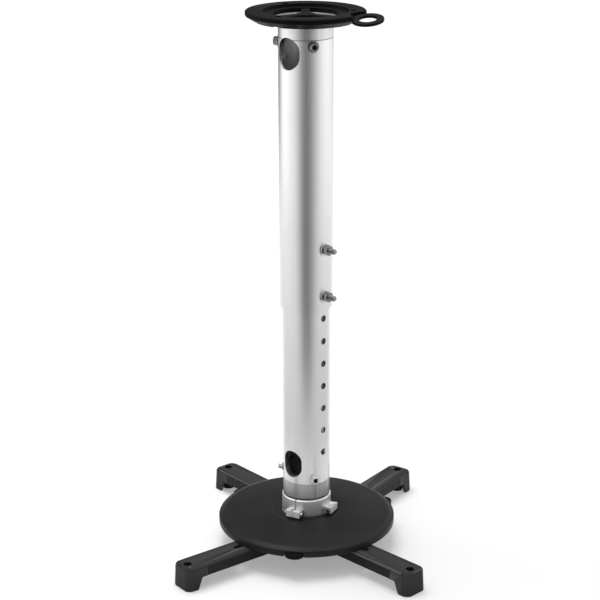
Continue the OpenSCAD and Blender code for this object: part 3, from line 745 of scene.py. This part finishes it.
def soften(piece, width, stays=None):
    """Rounds the sharp edges, and shades the faces as flat and the rounding as smooth.

    Edges for which stays gives True are left sharp.
    """
    bm = bmesh.new()
    bm.from_mesh(piece.data)
    weight = bm.edges.layers.float.new("bevel_weight_edge")
    for edge in bm.edges:
        if len(edge.link_faces) == 2 and edge.calc_face_angle() > SHARP and not (stays and stays(edge)):
            edge[weight] = 1.0
    bm.to_mesh(piece.data)
    bm.free()
    bevel = piece.modifiers.new("rounding", "BEVEL")
    bevel.width = width * MM
    bevel.segments = BEVEL_SEGMENTS
    bevel.limit_method = "WEIGHT"
    bevel.use_clamp_overlap = True
    shade = piece.modifiers.new("shading", "WEIGHTED_NORMAL")
    shade.mode = "FACE_AREA"
    shade.weight = SHADING_WEIGHT
    # The modifiers become the piece's own mesh
    made = bpy.data.meshes.new_from_object(piece.evaluated_get(bpy.context.evaluated_depsgraph_get()))
    piece.modifiers.clear()
    piece.data = made


def round_normals(piece):
    """Shades the faces that were turned about the main axis without their facets."""
    mesh = piece.data
    normals = [corner.vector.copy() for corner in mesh.corner_normals]
    for face in mesh.polygons:
        flat = Vector((face.normal.x, face.normal.y, 0))
        if flat.length < LEAST_SIDEWAYS:
            continue
        flat.normalize()
        for i in face.loop_indices:
            spot = mesh.vertices[mesh.loops[i].vertex_index].co
            out = Vector((spot.x, spot.y, 0))
            if out.length < NEAR_AXIS:
                continue
            out.normalize()
            side = out.dot(flat)
            if abs(side) > FACET_COS:
                was = normals[i]
                aim = out * math.copysign(math.hypot(was.x, was.y), side)
                normals[i] = Vector((aim.x, aim.y, was.z))
    mesh.normals_split_custom_set(normals)


for node, (slot_name, rounding) in FINISH.items():
    piece = put(node + "_finished", clean_copy(node), BODY_OF[node], slot_name, LOOKS.get(node))
    soften(piece, rounding, stays=at_split if node.startswith("clamp_segment") else None)
    if node in ROUND_WALLS:
        round_normals(piece)
    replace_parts(piece, node)


# ---------------------------------------------------------------- floor, light and background
FLOOR_HALF = 6.0
FLOOR_GREY = 0.80
# The floor's glow at two distances from the origin: (distance, strength)
GLOW_NEAR = (0.7, 0.30)
GLOW_FAR = (1.8, 0.66)
STUDIO_LIGHT = 0.45
LAMPS = (
    # name, place, target, width, height, power
    ("left_softbox", (-1.7, 0.1, -0.1), (0, 0, -0.3), 1.5, 1.6, 2.6),
    ("right_softbox", (1.7, 0.2, -0.1), (0, 0, -0.3), 1.3, 1.6, 1.2),
    ("top_softbox", (-0.25, 0.25, 1.2), (0, 0, -0.5), 1.1, 1.1, 19),
)

# The cards: rings of (radius, height over the floor), the angles between which they stand, how
# grey they are, and how solid they are at most
FRONT_RINGS = ((0.24, 0), (0.45, 0.2), (0.8, 0.6), (1.1, 1.2))
FRONT_ENDS = (-130, 130)
FRONT_GREY = 0.13
FRONT_SOLID = 0.97
BACK_RINGS = ((1.25, 0.02), (1.25, 0.3), (1.25, 1.6))
BACK_ENDS = (105, 255)
BACK_GREY = 0.12
BACK_SOLID = 0.93
CARD_SIDES = 48


def staged(name, mesh, material):
    thing = add_object(name, mesh)
    mesh.materials.append(material)
    return thing


def seen_ray(tree):
    """1 for the rays that show the background: from the camera, and by way of metal or glass."""
    ray = tree.nodes.new("ShaderNodeLightPath")
    share = ray.outputs["Is Camera Ray"]
    for name in ("Is Glossy Ray", "Is Transmission Ray"):
        either = tree.nodes.new("ShaderNodeMath")
        either.operation = "MAXIMUM"
        tree.links.new(share, either.inputs[0])
        tree.links.new(ray.outputs[name], either.inputs[1])
        share = either.outputs[0]
    return share


def make_floor():
    corners = [(-1, -1), (1, -1), (1, 1), (-1, 1)]
    mesh = bpy.data.meshes.new("floor")
    mesh.from_pydata([(x * FLOOR_HALF, y * FLOOR_HALF, FLOOR_Z) for x, y in corners], [], [(0, 1, 2, 3)])
    m = Nodes("floor")
    m.set(Base_Color=grey(FLOOR_GREY), Roughness=0.9, Specular_IOR_Level=0.0)
    # The white backdrop takes over with the distance from the object
    strength = m.spread(m.length(m.coord), GLOW_NEAR[0], GLOW_FAR[0], GLOW_NEAR[1], GLOW_FAR[1])
    glow = m.node(
        "ShaderNodeEmission", Color=grey(1.0), Strength=m.math("MULTIPLY", seen_ray(m.tree), strength)
    )
    add = m.tree.nodes.new("ShaderNodeAddShader")
    m.link(m.shader.outputs["BSDF"], add.inputs[0])
    m.link(glow.outputs["Emission"], add.inputs[1])
    m.link(add.outputs["Shader"], m.out.inputs["Surface"])
    staged("floor", mesh, m.mat)


def arc_mesh(name, rings, ends):
    """A card bent round the object, between two angles."""
    verts, faces = [], []
    start, stop = ends
    for r, height in rings:
        for k in range(CARD_SIDES + 1):
            spot = outward(start + (stop - start) * k / CARD_SIDES) * r
            verts.append((spot.x, spot.y, FLOOR_Z + height))
    for i in range(len(rings) - 1):
        for k in range(CARD_SIDES):
            n = i * (CARD_SIDES + 1) + k
            faces.append((n, n + 1, n + CARD_SIDES + 2, n + CARD_SIDES + 1))
    mesh = bpy.data.meshes.new(name)
    mesh.from_pydata(verts, [], faces)
    return mesh


def make_card(name, mesh, glow, share_of):
    """A card that only reflections see. share_of gives how solid it is, from its angle and height."""
    m = Nodes(name)
    parts = m.parts()
    turn = m.math("ARCTAN2", parts["X"], m.math("MULTIPLY", parts["Y"], -1.0))
    clear = m.tree.nodes.new("ShaderNodeBsdfTransparent")
    card = m.node("ShaderNodeEmission", Color=grey(glow), Strength=1.0)
    blend = m.tree.nodes.new("ShaderNodeMixShader")
    m.link(share_of(m, turn, parts["Z"]), blend.inputs[0])
    m.link(clear.outputs["BSDF"], blend.inputs[1])
    m.link(card.outputs["Emission"], blend.inputs[2])
    m.link(blend.outputs["Shader"], m.out.inputs["Surface"])
    piece = staged(name, mesh, m.mat)
    piece.visible_camera = False
    piece.visible_diffuse = False
    piece.visible_shadow = False
    piece.visible_transmission = False


def ramp(m, turn, clear_at, solid_at):
    """0 to 1 between two angles in degrees."""
    return m.spread(turn, math.radians(clear_at), math.radians(solid_at))


def front_share(m, turn, z):
    valley = m.math("MINIMUM", ramp(m, turn, -50, -8), ramp(m, turn, 66, 12))
    valley = m.math("MULTIPLY", valley, m.spread(z, FLOOR_Z, FLOOR_Z + 0.10))
    # Close to the floor the card is thin and reaches round the sides
    skirt = m.spread(z, FLOOR_Z + 0.06, FLOOR_Z + 0.32, to_low=0.40, to_high=0.0)
    return m.math("MULTIPLY", m.math("MAXIMUM", valley, skirt), FRONT_SOLID)


def back_share(m, turn, z):
    sides = m.math("MAXIMUM", ramp(m, turn, -112, -140), ramp(m, turn, 145, 170))
    sides = m.math("MULTIPLY", sides, m.spread(z, FLOOR_Z + 0.02, FLOOR_Z + 0.25))
    return m.math("MULTIPLY", sides, BACK_SOLID)


def make_world():
    """White for the camera and in reflections; a plain pale studio for everything else."""
    world = bpy.data.worlds.new("world")
    bpy.context.scene.world = world
    world.use_nodes = True
    tree = world.node_tree
    tree.nodes.clear()
    choose = tree.nodes.new("ShaderNodeMixShader")
    tree.links.new(seen_ray(tree), choose.inputs["Fac"])
    for number, strength in ((1, STUDIO_LIGHT), (2, 1.0)):
        white = tree.nodes.new("ShaderNodeBackground")
        white.inputs["Color"].default_value = grey(1.0)
        white.inputs["Strength"].default_value = strength
        tree.links.new(white.outputs["Background"], choose.inputs[number])
    out = tree.nodes.new("ShaderNodeOutputWorld")
    tree.links.new(choose.outputs["Shader"], out.inputs["Surface"])


def area_light(name, place, target, width, height, power):
    data = bpy.data.lights.new(name, "AREA")
    data.shape = "RECTANGLE"
    data.size = width
    data.size_y = height
    data.energy = power
    lamp = add_object(name, data)
    lamp.location = place
    lamp.rotation_euler = (Vector(target) - Vector(place)).to_track_quat("-Z", "Y").to_euler()
    lamp.visible_camera = False


make_floor()
# A dark card between camera and object, and another behind the object and above the floor
make_card("flag", arc_mesh("flag", FRONT_RINGS, FRONT_ENDS), FRONT_GREY, front_share)
make_card("back_card", arc_mesh("back_card", BACK_RINGS, BACK_ENDS), BACK_GREY, back_share)
make_world()
for lamp in LAMPS:
    area_light(*lamp)
